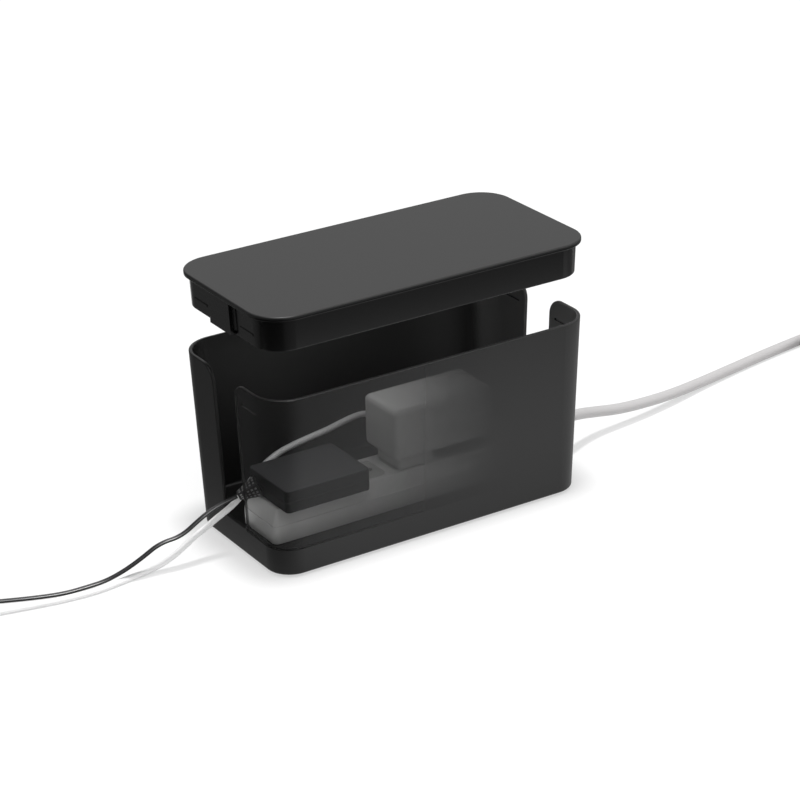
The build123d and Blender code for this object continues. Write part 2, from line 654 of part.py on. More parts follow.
def adapter_outline(level, inset):
    with BuildSketch(Plane.XY.offset(level)) as outline:
        with Locations((ADAPTER_X, ADAPTER_Y)):
            RectangleRounded(
                ADAPTER_LENGTH - 2 * inset, ADAPTER_WIDTH - 2 * inset, max(ADAPTER_CORNER - inset, 0.5)
            )
    return outline.sketch


def blade_holes(middle_x):
    """Openings for a pair of blades through a wall."""
    with BuildSketch(Plane.XY.offset(REST_Z)) as holes:
        with Locations(*[(middle_x, STRIP_MIDDLE_Y + row * BLADE_GAUGE / 2) for row in (-1, 1)]):
            Rectangle(BLADE_WIDTH, BLADE_THICK)
    return holes.sketch


with BuildPart() as adapter_base:
    extrude(adapter_outline(REST_Z, 0), amount=ADAPTER_SEAM)
    fillet(adapter_base.faces().sort_by(Axis.Z)[0].edges(), ADAPTER_EDGE)
    chamfer(adapter_base.faces().sort_by(Axis.Z)[-1].edges(), SEAM_CHAMFER)
    extrude(
        adapter_outline(REST_Z + ADAPTER_WALL, ADAPTER_WALL), amount=ADAPTER_SEAM, mode=Mode.SUBTRACT
    )
    extrude(blade_holes(SOCKETS_X[0] + BLADE_SHIFT), amount=ADAPTER_WALL, mode=Mode.SUBTRACT)
finish(adapter_base, "adapter_base")

with BuildPart() as adapter_cover:
    extrude(adapter_outline(ADAPTER_SPLIT, 0), amount=ADAPTER_HEIGHT - ADAPTER_SEAM)
    fillet(adapter_cover.faces().sort_by(Axis.Z)[-1].edges(), ADAPTER_EDGE)
    chamfer(adapter_cover.faces().sort_by(Axis.Z)[0].edges(), SEAM_CHAMFER)
    extrude(
        adapter_outline(ADAPTER_SPLIT, ADAPTER_WALL),
        amount=ADAPTER_HEIGHT - ADAPTER_SEAM - ADAPTER_WALL,
        mode=Mode.SUBTRACT,
    )
finish(adapter_cover, "adapter_cover")


def circuit_board(middle, length, width):
    """A bare board, its sides along X and Y, with a row of small parts on it."""
    with Locations(middle):
        Box(length, width, BOARD_THICK, align=(Align.CENTER, Align.CENTER, Align.MIN))
    x, y, z = middle
    parts_x = [x + length * share for share in (-0.38, -0.18, 0.36)]
    with Locations(*[(part_x, y + width * 0.3, z + BOARD_THICK) for part_x in parts_x]):
        Cylinder(CAPACITOR_RADIUS, CAPACITOR_HEIGHT, align=(Align.CENTER, Align.CENTER, Align.MIN))
    with Locations((x - length * 0.3, y - width * 0.2, z + BOARD_THICK)):
        Box(length * 0.12, width * 0.3, CAPACITOR_HEIGHT / 2, align=(Align.CENTER, Align.CENTER, Align.MIN))


def transformer(middle, size, label):
    """A square core with its winding standing out on two sides."""
    low = (Align.CENTER, Align.CENTER, Align.MIN)
    with BuildPart() as built:
        with Locations(middle):
            Box(size, size * 0.7, size * 0.42, align=low)
            Cylinder(size * 0.42, size * 0.42, align=low)
        fillet(built.edges().filter_by(Axis.Z), 0.3)
    return finish(built, label)


ADAPTER_BOARD_Z = REST_Z + ADAPTER_WALL + BLADE_ROOT
with BuildPart() as adapter_board:
    circuit_board((ADAPTER_X, ADAPTER_Y, ADAPTER_BOARD_Z), ADAPTER_LENGTH * 0.88, ADAPTER_WIDTH * 0.84)
finish(adapter_board, "adapter_board")
transformer(
    (ADAPTER_X + ADAPTER_LENGTH * 0.1, ADAPTER_Y - ADAPTER_WIDTH * 0.1, ADAPTER_BOARD_Z + BOARD_THICK),
    TRANSFORMER_SIZE,
    "adapter_transformer",
)

ADAPTER_LEAD = Plane(
    origin=(ADAPTER_LEFT - REST_GAP / 2, ADAPTER_LEAD_Y, REST_Z + ADAPTER_LEAD_RISE),
    x_dir=(0, 1, 0),
    z_dir=(-1, 0, 0),
)
ADAPTER_LEAN = Vector(*DC_ROUTE[0]) - ADAPTER_LEAD.origin
ADAPTER_SLEEVE = Plane(origin=ADAPTER_LEAD.origin, x_dir=(0, 1, 0), z_dir=ADAPTER_LEAN)
with BuildPart() as adapter_relief:
    ribbed_sleeve(
        ADAPTER_SLEEVE, ADAPTER_LEAN.length - REST_GAP, ADAPTER_SLEEVE_FOOT, ADAPTER_SLEEVE_TIP, 5
    )
    extrude(relief_section(ADAPTER_SLEEVE, 0, ADAPTER_SLEEVE_FOOT), amount=-ADAPTER_SLEEVE_FOOT[1])
    split(bisect_by=ADAPTER_LEAD, keep=Keep.TOP)
finish(adapter_relief, "adapter_relief")

# ---------------------------------------------------------------- charger
# A light block that overhangs its slide-on plug base. Its end cap is a second moulding.
CHARGER_LOW = REST_Z + CHARGER_BOTTOM
CHARGER_X = CHARGER_LEFT + CHARGER_LENGTH / 2
CHARGER_Y = CHARGER_FRONT + CHARGER_WIDTH / 2
CAP_X = CHARGER_LEFT + CHARGER_LENGTH - CHARGER_CAP
CAP_PLANE = Plane(origin=(CAP_X, 0, 0), x_dir=(0, 1, 0), z_dir=(1, 0, 0))


def charger_block():
    """The whole hollow block, before it is divided into case and end cap."""
    middle = (CHARGER_X, CHARGER_Y, CHARGER_LOW + CHARGER_HEIGHT / 2)
    with BuildPart() as block:
        with Locations(middle):
            Box(CHARGER_LENGTH, CHARGER_WIDTH, CHARGER_HEIGHT)
        fillet(block.edges(), CHARGER_ROUND)
        with Locations(middle):
            Box(
                CHARGER_LENGTH - 2 * CHARGER_WALL,
                CHARGER_WIDTH - 2 * CHARGER_WALL,
                CHARGER_HEIGHT - 2 * CHARGER_WALL,
                mode=Mode.SUBTRACT,
            )
    return block.part


with BuildPart() as charger_case:
    add(charger_block())
    split(bisect_by=CAP_PLANE.offset(-CHARGER_SEAM), keep=Keep.BOTTOM)
finish(charger_case, "charger_case")

with BuildPart() as charger_end_cap:
    add(charger_block())
    split(bisect_by=CAP_PLANE, keep=Keep.TOP)
    # the lip that plugs into the case
    with BuildSketch(CAP_PLANE):
        with Locations((CHARGER_Y, CHARGER_LOW + CHARGER_HEIGHT / 2)):
            Rectangle(CHARGER_WIDTH - 2 * CHARGER_WALL - REST_GAP, CHARGER_HEIGHT - 2 * CHARGER_WALL - REST_GAP)
            Rectangle(
                CHARGER_WIDTH - 4 * CHARGER_WALL, CHARGER_HEIGHT - 4 * CHARGER_WALL, mode=Mode.SUBTRACT
            )
    extrude(amount=CHARGER_CAP - CHARGER_WALL, both=True)
finish(charger_end_cap, "charger_end_cap")

BASE_MIDDLE = SOCKETS_X[2]
with BuildPart() as charger_plug_base:
    with BuildSketch(Plane.XY.offset(REST_Z)):
        with Locations((BASE_MIDDLE, STRIP_MIDDLE_Y)):
            RectangleRounded(PLUG_BASE_LENGTH, PLUG_BASE_WIDTH, PLUG_BASE_ROUND)
    extrude(amount=CHARGER_BOTTOM)
    fillet(charger_plug_base.faces().sort_by(Axis.Z)[0].edges(), ADAPTER_EDGE)
    extrude(
        blade_holes(BASE_MIDDLE + BLADE_SHIFT), amount=CHARGER_BOTTOM - CHARGER_WALL, mode=Mode.SUBTRACT
    )
finish(charger_plug_base, "charger_plug_base")

CHARGER_BOARD_Z = CHARGER_LOW + 2 * CHARGER_WALL
with BuildPart() as charger_board:
    circuit_board(
        (CHARGER_X - CHARGER_WALL, CHARGER_Y, CHARGER_BOARD_Z), CHARGER_LENGTH * 0.8, CHARGER_WIDTH * 0.78
    )
finish(charger_board, "charger_board")
transformer(
    (CHARGER_X + TRANSFORMER_SIZE / 4, CHARGER_Y - CHARGER_WIDTH * 0.08, CHARGER_BOARD_Z + BOARD_THICK),
    TRANSFORMER_SIZE,
    "charger_transformer",
)

CHARGER_LEAD = Plane(
    origin=(
        CHARGER_LEAD_X,
        CHARGER_FRONT + CHARGER_WIDTH + REST_GAP / 2,
        CHARGER_LOW + CHARGER_LEAD_RISE,
    ),
    x_dir=(1, 0, 0),
    z_dir=(0, 1, 0),
)
CHARGER_LEAN = Vector(*USB_ROUTE[0]) - CHARGER_LEAD.origin
CHARGER_AXIS = Plane(origin=CHARGER_LEAD.origin, x_dir=(0, 0, 1), z_dir=CHARGER_LEAN)
with BuildPart() as charger_relief:
    ribbed_sleeve(
        CHARGER_AXIS, CHARGER_LEAN.length - REST_GAP, CHARGER_SLEEVE_FOOT, CHARGER_SLEEVE_TIP, 4
    )
    extrude(relief_section(CHARGER_AXIS, 0, CHARGER_SLEEVE_FOOT), amount=-CHARGER_SLEEVE_FOOT[1])
    split(bisect_by=CHARGER_LEAD, keep=Keep.TOP)
finish(charger_relief, "charger_relief")


# ---------------------------------------------------------------- cords
# Each lies as one tube on a route chosen by hand, then is put away as a neat coil, with its end
# piece lying on the coil.
def corner_radii(route):
    """An arc for each corner, as large as its two runs allow."""
    points = [Vector(*point) for point in route]
    runs = [after - before for before, after in zip(points, points[1:])]
    radii = []
    for before, after in zip(runs, runs[1:]):
        half_turn = math.radians(before.get_angle(after)) / 2
        radii.append(ARC_SHARE * min(before.length, after.length) / math.tan(half_turn))
    return radii


def cord(route, radius, label):
    radii = corner_radii(route)
    path = FilletPolyline(*route, radius=radii)
    with BuildPart() as tube:
        with BuildSketch(Plane(origin=path @ 0, z_dir=path % 0)):
            Circle(radius)
        sweep(path=path)
    expected = math.pi * radius**2 * path.length
    print(
        label,
        f"length {path.length:.0f}, tightest {min(radii) / (2 * radius):.1f} diameters,",
        f"volume / section x length {tube.part.volume / expected:.4f}",
    )
    return finish(tube, label)


def coil(centre, turn_radius, cord_radius, height, label):
    """The outer shape of a neat coil, three cords wide: a ring with rounded edges on the floor."""
    reach = 3 * cord_radius
    with BuildPart() as ring:
        with BuildSketch(Plane.XZ.offset(-centre[1])) as section:
            with Locations((centre[0] + turn_radius, height / 2)):
                RectangleRounded(2 * reach, height, 0.8 * cord_radius)
        revolve(axis=Axis((centre[0], centre[1], 0), (0, 0, 1)))
    return finish(ring, label)


cord(MAINS_ROUTE, MAINS_RADIUS, "mains_cord")
cord(DC_ROUTE, DC_RADIUS, "adapter_cord")
cord(USB_ROUTE, USB_RADIUS, "charger_cord")
MAINS_COIL_TOP = 4 * MAINS_RADIUS
DC_COIL_TOP = 4 * DC_THICK
USB_COIL_TOP = 6 * USB_RADIUS
coil(MAINS_COIL, MAINS_TURN, MAINS_RADIUS, MAINS_COIL_TOP, "mains_coil")
coil(DC_COIL, DC_TURN, DC_RADIUS, DC_COIL_TOP, "adapter_coil")
coil(USB_COIL, USB_TURN, USB_RADIUS, USB_COIL_TOP, "charger_coil")

# ---------------------------------------------------------------- cores inside the strip
CORE_START_X = STRIP_RIGHT - LEAD_COLLAR_DEPTH
# side of the strip, level in the relief, height of the end above the bars' lower edge
CORES = [(1, 0, CORE_RISE), (0, -1, BAR_SHEET / 2), (-1, 1, BAR_HEIGHT - CORE_SPREAD)]


def core_route(side, level, rise):
    """From the relief's inner face to the end of its bar."""
    start_z = STRIP_SPLIT + level * CORE_SPREAD
    end_y = STRIP_MIDDLE_Y + side * (BLADE_GAUGE / 2 + LEAF)
    reach = (CORE_START_X - BAR_STOP) / 3
    return [
        (CORE_START_X, LEAD_Y, start_z),
        (CORE_START_X - reach, LEAD_Y, start_z),
        (CORE_START_X - 2 * reach, end_y, BAR_LOW + rise),
        (BAR_STOP, end_y, BAR_LOW + rise),
    ]


core_paths = [FilletPolyline(*core_route(*core), radius=CORE_BEND) for core in CORES]
with BuildPart() as core_wires:
    for core_path in core_paths:
        with BuildSketch(Plane(origin=core_path @ 0, z_dir=core_path % 0)):
            Circle(CORE_RADIUS)
        sweep(path=core_path)
finish(core_wires, "core_wires")

# ---------------------------------------------------------------- mains plug
# Lies on its coil, with the blades to the left.
PLUG_Z = MAINS_COIL_TOP + REST_GAP + PLUG_HEIGHT / 2
PLUG_X = MAINS_COIL[0] + PLUG_OFFSET
PLUG_Y = MAINS_COIL[1] - MAINS_TURN
PLUG_FACE = Plane(origin=(PLUG_X - PLUG_LENGTH / 2, PLUG_Y, PLUG_Z), x_dir=(0, -1, 0), z_dir=(-1, 0, 0))


def plug_section(along, width, height):
    with BuildSketch(PLUG_FACE.offset(-along)) as section:
        RectangleRounded(width, height, min(width, height) * 0.3)
    return section.sketch


with BuildPart() as plug_body:
    loft([plug_section(0, PLUG_WIDTH, PLUG_HEIGHT), plug_section(PLUG_HEAD, PLUG_WIDTH, PLUG_HEIGHT)])
    neck = 2 * MAINS_RADIUS + PLUG_NECK_WALL
    loft([plug_section(PLUG_HEAD, PLUG_WIDTH, PLUG_HEIGHT), plug_section(PLUG_LENGTH, neck, neck)])
    fillet(plug_body.faces().sort_by(Axis.X)[0].edges(), ADAPTER_EDGE)
finish(plug_body, "plug_body")

with BuildPart() as plug_pins:
    with BuildSketch(PLUG_FACE):
        with Locations((-BLADE_GAUGE / 2, BLADE_SHIFT), (BLADE_GAUGE / 2, BLADE_SHIFT)):
            Rectangle(BLADE_THICK, BLADE_WIDTH)
    extrude(amount=BLADE_LENGTH)
    with BuildSketch(PLUG_FACE):
        with Locations((0, BLADE_SHIFT + EARTH_OFFSET)):
            Circle(EARTH_RADIUS)
    extrude(amount=EARTH_LENGTH)
    fillet(plug_pins.faces().sort_by(Axis.X)[0].edges(), EARTH_RADIUS / 2)
finish(plug_pins, "plug_pins")

# ---------------------------------------------------------------- low-voltage connectors
DC_TIP = Plane(
    origin=(
        DC_COIL[0] - DC_TURN,
        DC_COIL[1] + DC_BODY_LENGTH / 2,
        DC_COIL_TOP + REST_GAP + DC_BODY_RADIUS,
    ),
    z_dir=(0, 1, 0),
)
with BuildPart() as adapter_connector:
    with BuildSketch(DC_TIP):
        Circle(DC_BODY_RADIUS)
    extrude(amount=-0.7 * DC_BODY_LENGTH)
    with BuildSketch(DC_TIP.offset(-0.7 * DC_BODY_LENGTH)) as shoulder:
        Circle(DC_BODY_RADIUS)
    with BuildSketch(DC_TIP.offset(-DC_BODY_LENGTH)) as tail_end:
        Circle(DC_RADIUS + GROOVE_DEPTH)
    loft([shoulder.sketch, tail_end.sketch])
finish(adapter_connector, "adapter_connector")

with BuildPart() as adapter_barrel:
    with BuildSketch(DC_TIP):
        Circle(BARREL_RADIUS)
        Circle(BARREL_BORE, mode=Mode.SUBTRACT)
    extrude(amount=BARREL_LENGTH)
finish(adapter_barrel, "adapter_barrel")

USB_TIP = Plane(
    origin=(
        USB_COIL[0] - USB_TURN,
        USB_COIL[1] - USB_BODY[2] / 2,
        USB_COIL_TOP + REST_GAP + USB_BODY[1] / 2,
    ),
    x_dir=(1, 0, 0),
    z_dir=(0, -1, 0),
)
with BuildPart() as charger_connector:
    with BuildSketch(USB_TIP):
        RectangleRounded(USB_BODY[0], USB_BODY[1], 0.4 * USB_BODY[1])
    extrude(amount=-USB_BODY[2])
    with BuildSketch(USB_TIP.offset(-USB_BODY[2])):
        Circle(USB_RADIUS + GROOVE_DEPTH)
    extrude(amount=-USB_BODY[1])
finish(charger_connector, "charger_connector")

with BuildPart() as charger_tongue:
    with BuildSketch(USB_TIP):
        RectangleRounded(USB_TONGUE[0], USB_TONGUE[1], 0.45 * USB_TONGUE[1])
        RectangleRounded(
            USB_TONGUE[0] - BAR_SHEET, USB_TONGUE[1] - BAR_SHEET, 0.4 * (USB_TONGUE[1] - BAR_SHEET),
            mode=Mode.SUBTRACT,
        )
    extrude(amount=USB_TONGUE[2])
finish(charger_tongue, "charger_tongue")
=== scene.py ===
import json
import math

import bmesh
import bpy
from mathutils import Matrix, Vector

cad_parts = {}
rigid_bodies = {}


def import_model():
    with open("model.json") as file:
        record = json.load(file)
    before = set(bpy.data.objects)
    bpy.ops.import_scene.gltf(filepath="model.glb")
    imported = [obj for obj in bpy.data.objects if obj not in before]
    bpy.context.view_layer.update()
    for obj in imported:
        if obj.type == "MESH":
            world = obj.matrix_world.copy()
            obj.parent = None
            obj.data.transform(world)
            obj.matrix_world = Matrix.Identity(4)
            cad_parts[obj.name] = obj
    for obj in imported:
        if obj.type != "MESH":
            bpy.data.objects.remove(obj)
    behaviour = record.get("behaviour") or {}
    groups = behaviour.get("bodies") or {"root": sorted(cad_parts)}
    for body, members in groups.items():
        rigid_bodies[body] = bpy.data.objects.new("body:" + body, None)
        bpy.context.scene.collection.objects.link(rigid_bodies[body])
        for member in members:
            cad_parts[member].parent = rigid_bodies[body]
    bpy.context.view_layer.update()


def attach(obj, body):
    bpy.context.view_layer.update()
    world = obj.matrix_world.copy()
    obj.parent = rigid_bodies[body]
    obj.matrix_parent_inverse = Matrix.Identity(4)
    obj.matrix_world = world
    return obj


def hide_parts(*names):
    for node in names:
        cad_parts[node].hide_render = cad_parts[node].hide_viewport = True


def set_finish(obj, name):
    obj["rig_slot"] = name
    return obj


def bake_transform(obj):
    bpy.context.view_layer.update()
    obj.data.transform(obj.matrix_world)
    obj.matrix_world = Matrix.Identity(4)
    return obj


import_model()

# ---------------------------------------------------------------- camera
# A long lens, a little above the box and to the left of its front.
SENSOR = 36.0  # mm
LENS = 117.61  # mm
CAMERA_PLACE = Vector((-0.7915, -1.2815, 0.7498))
CAMERA_AZIMUTH = math.radians(31.98)  # from +Y towards +X
CAMERA_DOWN = math.radians(24.20)
CAMERA_ROLL = math.radians(-1.42)

level = Vector((math.cos(CAMERA_AZIMUTH), -math.sin(CAMERA_AZIMUTH), 0))
ahead = Vector((
    math.sin(CAMERA_AZIMUTH) * math.cos(CAMERA_DOWN),
    math.cos(CAMERA_AZIMUTH) * math.cos(CAMERA_DOWN),
    -math.sin(CAMERA_DOWN),
))
upright = level.cross(ahead)
camera_x = level * math.cos(CAMERA_ROLL) + upright * math.sin(CAMERA_ROLL)
camera_y = upright * math.cos(CAMERA_ROLL) - level * math.sin(CAMERA_ROLL)
camera = bpy.data.objects.new("camera", bpy.data.cameras.new("camera"))
camera.data.sensor_width = SENSOR
camera.data.lens = LENS
camera.data.clip_start = 0.05
bpy.context.collection.objects.link(camera)
turned = Matrix((camera_x, camera_y, -ahead)).transposed().to_4x4()
camera.matrix_world = Matrix.Translation(CAMERA_PLACE) @ turned
scene = bpy.context.scene
scene.camera = camera
scene.view_settings.view_transform = "Standard"


# ---------------------------------------------------------------- studio
# A pale paper floor, an even pale room and three soft lamps, with a small one under the lid that
# lights what is in the box. What shines mirrors a room that is dark on the left, and a floor that
# glows for shine only with a painted reflection: dark on the left, in front of a line before the box
# and far to the right, with a painted shadow by the box.
ROOM_LIGHT = 0.35
ROOM_TURN = (-0.3, 0.3)  # where the mirrored room turns from dark to pale, from left to right
PALE_ROOM = 0.72  # what shines mirrors of the room's pale side
DARK_SIDE = 0.16  # and of every dark part
FLOOR_COLOUR = 0.82
FLOOR_REACH = 6.0
PLAIN_WHITE = 1.06
FLOOR_WHITE = 0.52  # share of plain white that the lens sees in the floor near the object
NEAR_FLOOR = (0.30, 0.75)  # beyond this distance it sees plain white only
PALE_FLOOR = 1.02  # what shines mirrors of the floor's pale part
# Where the floor's painted reflection, which it glows with for shine only, is pale, dark or shaded by
# the box:
FRONT_EDGE = (-0.315, -0.265)
DARK_LEFT = (-0.16, -0.06)
BY_THE_BOX = (-0.14, -0.05)
BOX_SHADE = 0.32  # share that the mirrored floor loses by the box
DARK_RIGHT = (0.30, 0.42)
RIGHT_SHADE = 0.9
DEEP_AWAY = (0.36, 0.41)  # beyond this distance, to the left and in front, it is darkest
DEEP_LEFT = (0.16, 0.24)
DEEP_FRONT = (0.06, 0.14)
DEEP_SHADE = 0.95
INNER_LAMP = (0.12, 0.07)  # length and width


class Wire:
    """One output of a node. Its operators add Math nodes."""

    def __init__(self, finish, socket):
        self.finish = finish
        self.socket = socket

    def __add__(self, other):
        return self.finish.math("ADD", self, other)

    def __sub__(self, other):
        return self.finish.math("SUBTRACT", self, other)

    def __rsub__(self, other):
        return self.finish.math("SUBTRACT", other, self)

    def __mul__(self, other):
        return self.finish.math("MULTIPLY", self, other)

    __radd__ = __add__
    __rmul__ = __mul__


class Finish:
    """A Principled material for one moulding, sheet or wire. What varies over it is written as
    expressions on wires."""

    def __init__(self, name):
        self.name = name
        self.material = bpy.data.materials.new(name)
        self.material.use_nodes = True
        self.tree = self.material.node_tree
        self.shader = self.tree.nodes["Principled BSDF"]
        self.place = self.node("ShaderNodeTexCoord", out="Object")

    def feed(self, node, inputs):
        for name, value in inputs.items():
            if isinstance(value, Wire):
                self.tree.links.new(value.socket, node.inputs[name])
            else:
                node.inputs[name].default_value = value

    def node(self, kind, settings={}, inputs={}, out=0):
        node = self.tree.nodes.new(kind)
        for name, value in settings.items():
            setattr(node, name, value)
        self.feed(node, inputs)
        return Wire(self, node.outputs[out])

    def set(self, **inputs):
        self.feed(self.shader, {name.replace("_", " "): value for name, value in inputs.items()})
        return self

    def math(self, operation, *values):
        return self.node("ShaderNodeMath", {"operation": operation}, dict(enumerate(values)))

    def smooth(self, value, low, high):
        """0 below low, 1 above high, with a soft step between."""
        return self.node(
            "ShaderNodeMapRange",
            {"interpolation_type": "SMOOTHSTEP"},
            {"Value": value, "From Min": low, "From Max": high},
        )

    def split(self, vector):
        return [self.node("ShaderNodeSeparateXYZ", {}, {0: vector}, out) for out in range(3)]

    def axes(self):
        """How far along, across and up a place is."""
        return self.split(self.place)

    def facing(self):
        """How far a face looks to the right, to the back and up."""
        return self.split(self.node("ShaderNodeNewGeometry", out="True Normal"))

    def ray(self, kind):
        """1 for rays of this kind."""
        return self.node("ShaderNodeLightPath", out=f"Is {kind} Ray")

    def seen(self):
        """1 for what the lens sees, straight or through something clear."""
        return self.math("MAXIMUM", self.ray("Camera"), self.ray("Transmission"))

    def noise(self, scale, detail=2.0):
        inputs = {"Vector": self.place, "Scale": scale, "Detail": detail}
        return self.node("ShaderNodeTexNoise", {}, inputs, "Fac")

    def blend(self, amount, first, second):
        """One colour turning into another."""
        node = self.tree.nodes.new("ShaderNodeMix")
        node.data_type = "RGBA"
        self.feed(node, {"Factor": amount, 6: first, 7: second})
        return Wire(self, node.outputs[2])

    def relief(self, height, strength, depth):
        """A fine relief from a height between 0 and 1."""
        inputs = {"Height": height, "Strength": strength, "Distance": depth}
        return self.node("ShaderNodeBump", {}, inputs)


class Sky(Finish):
    """The room round the object, written as a finish is."""

    def __init__(self, world):
        self.tree = world.node_tree
        self.shader = self.tree.nodes["Background"]
        self.place = self.node("ShaderNodeTexCoord", out="Generated")


def grey(value):
    return (value, value, value, 1.0)


world = bpy.data.worlds.new("studio")
scene.world = world
world.use_nodes = True
room = Sky(world)
in_shine = room.ray("Glossy")
mirrored = DARK_SIDE + (PALE_ROOM - DARK_SIDE) * room.smooth(room.axes()[0], *ROOM_TURN)
even = ROOM_LIGHT + (1.0 - ROOM_LIGHT) * room.seen()
room.set(Color=grey(1.0), Strength=even * (1.0 - in_shine) + mirrored * in_shine)
world.cycles.sampling_method = "NONE"

floor_mesh = bmesh.new()
bmesh.ops.create_grid(floor_mesh, x_segments=1, y_segments=1, size=FLOOR_REACH)
floor = bpy.data.objects.new("floor", bpy.data.meshes.new("floor"))
floor_mesh.to_mesh(floor.data)
floor_mesh.free()
bpy.context.collection.objects.link(floor)

paper = Finish("paper_floor")
paper.set(Base_Color=grey(FLOOR_COLOUR), Roughness=0.9, Specular_IOR_Level=0.0)
along, across = paper.axes()[:2]
away = paper.math("SQRT", along * along + across * across)
# Painted reflection: pale behind the front line, with a painted shadow by the box, dark to the left and
# far right, and darkest far off to the front left.
lit = paper.smooth(across, *FRONT_EDGE) * (1.0 - BOX_SHADE * paper.smooth(across, *BY_THE_BOX))
lit = lit * paper.smooth(along, *DARK_LEFT)
lit = lit * (1.0 - RIGHT_SHADE * paper.smooth(along, *DARK_RIGHT))
deep = paper.smooth(away, *DEEP_AWAY) * paper.smooth(-1.0 * along, *DEEP_LEFT)
deep = deep * (1.0 - paper.smooth(across, *DEEP_FRONT))
mirrored = DARK_SIDE * (1.0 - DEEP_SHADE * deep) + (PALE_FLOOR - DARK_SIDE) * lit
in_shine = paper.ray("Glossy")
bright = paper.tree.nodes.new("ShaderNodeEmission")
paper.feed(bright, {"Strength": mirrored * in_shine + PLAIN_WHITE * (1.0 - in_shine)})
plain = FLOOR_WHITE + (1.0 - FLOOR_WHITE) * paper.smooth(away, *NEAR_FLOOR)
both = paper.tree.nodes.new("ShaderNodeMixShader")
paper.feed(both, {0: paper.math("MAXIMUM", paper.seen() * plain, in_shine)})
paper.tree.links.new(paper.shader.outputs[0], both.inputs[1])
paper.tree.links.new(bright.outputs[0], both.inputs[2])
paper.tree.links.new(both.outputs[0], paper.tree.nodes["Material Output"].inputs[0])
paper.material.cycles.emission_sampling = "NONE"
floor.data.materials.append(paper.material)


def softbox(name, place, aim, size, power):
    lamp = bpy.data.objects.new(name, bpy.data.lights.new(name, "AREA"))
    lamp.data.shape = "DISK"
    lamp.data.size = size
    lamp.data.energy = power
    bpy.context.collection.objects.link(lamp)
    toward = Vector(aim) - Vector(place)
    lamp.matrix_world = Matrix.Translation(place) @ toward.to_track_quat("-Z", "Y").to_matrix().to_4x4()
    return lamp


softbox("top_softbox", (0.0, -0.06, 2.2), (0, 0, 0), 0.3, 38.0)
softbox("front_softbox", (0.95, -1.0, 0.9), (0, 0, 0.05), 0.8, 3.0)
softbox("left_softbox", (-0.25, -0.55, 1.25), (-0.2, 0, 0.03), 0.8, 5.0)
inner = softbox("inner_softbox", (-0.02, 0, 0.116), (-0.02, 0, 0), INNER_LAMP[0], 0.026)
inner.data.shape = "RECTANGLE"
inner.data.size_y = INNER_LAMP[1]
inner.visible_camera = False


# ---------------------------------------------------------------- box and its feet
# The box is one moulding of black plastic with a fine even grain, on four pressed-in rubber feet.
# The left half of its front wall is shown clear, as in a cutaway picture. Only the lens sees
# through it, and some light comes in there. The inner side of its right end is painted a lighter
# grey as painted light: fully on its front half, and less on its back half.
BOX_GREY = 0.006
MOULD_GRAIN = 1500.0
MOULD_RELIEF = (0.12, 0.00004)  # strength and depth
SOFT_STEP = 0.001
SLOT_EDGE = -0.013  # the front half of each end begins here
SEEN_ABOVE = 0.019  # the raised floor
CLEAR_FROM = -0.110
CLEAR_TO = 0.062
CLEAREST = 0.51
CLEAR_FADE = 1.5
CLEAR_START = (0.0, 0.01)  # share of the way from CLEAR_TO to CLEAR_FROM over which it sets in
LET_IN = 0.68  # light that comes in through the clear part
EDGE_TURN = (0.25, 0.5)  # a face turned this far up or back is a rim's or a slot's, and isn't clear
INWARD = (-0.6, -0.1)  # a face turned this far to the left, at the right end, is its inner side
RIGHT_END = (0.09, 0.11)
# Painted light: the lighter grey of the right end's inner side, in place of light the lamps don't give
# there.
INNER_PAINTED_LIGHT = 0.20
BACK_SHARE = 0.6  # how much of it the back half of the end takes

box_plastic = Finish("box_plastic")
along, across, height = box_plastic.axes()
to_right, to_back, upward = box_plastic.facing()
grain = box_plastic.noise(MOULD_GRAIN, 1.0)
edge_face = box_plastic.math(
    "MAXIMUM", box_plastic.smooth(upward, *EDGE_TURN), box_plastic.smooth(to_back, *EDGE_TURN)
)
to_left = box_plastic.node(
    "ShaderNodeMapRange", {},
    {"Value": along, "From Min": CLEAR_FROM, "From Max": CLEAR_TO, "To Min": 1.0, "To Max": 0.0},
)
clear = CLEAREST * box_plastic.math("POWER", to_left, CLEAR_FADE)
front_half = 1.0 - box_plastic.smooth(across, SLOT_EDGE - SOFT_STEP, SLOT_EDGE)
above = box_plastic.smooth(height, SEEN_ABOVE - SOFT_STEP / 2, SEEN_ABOVE + SOFT_STEP / 2)
wall_part = front_half * above * box_plastic.smooth(to_left, *CLEAR_START)
inside_out = box_plastic.node("ShaderNodeNewGeometry", out="Backfacing")
lens = box_plastic.ray("Camera")
seen_through = box_plastic.math("MAXIMUM", clear * (1.0 - edge_face), inside_out)
let_through = lens * seen_through + LET_IN * (1.0 - lens)
# Painted light: where the right end's inner side is painted lighter, fully on its front half and by
# BACK_SHARE on its back half.
painted_light_inner_end = (1.0 - box_plastic.smooth(to_right, *INWARD)) * box_plastic.smooth(along, *RIGHT_END)
painted_light_inner_end = painted_light_inner_end * (BACK_SHARE + (1.0 - BACK_SHARE) * front_half)
box_plastic.set(
    Base_Color=box_plastic.blend(painted_light_inner_end, grey(BOX_GREY), grey(INNER_PAINTED_LIGHT)),
    Roughness=0.40 + 0.10 * grain,
    Normal=box_plastic.relief(grain, *MOULD_RELIEF),
    Alpha=1.0 - wall_part * let_through,
)

foot_rubber = Finish("foot_rubber")
foot_rubber.set(Base_Color=grey(0.015), Roughness=0.75 + 0.1 * foot_rubber.noise(300.0))


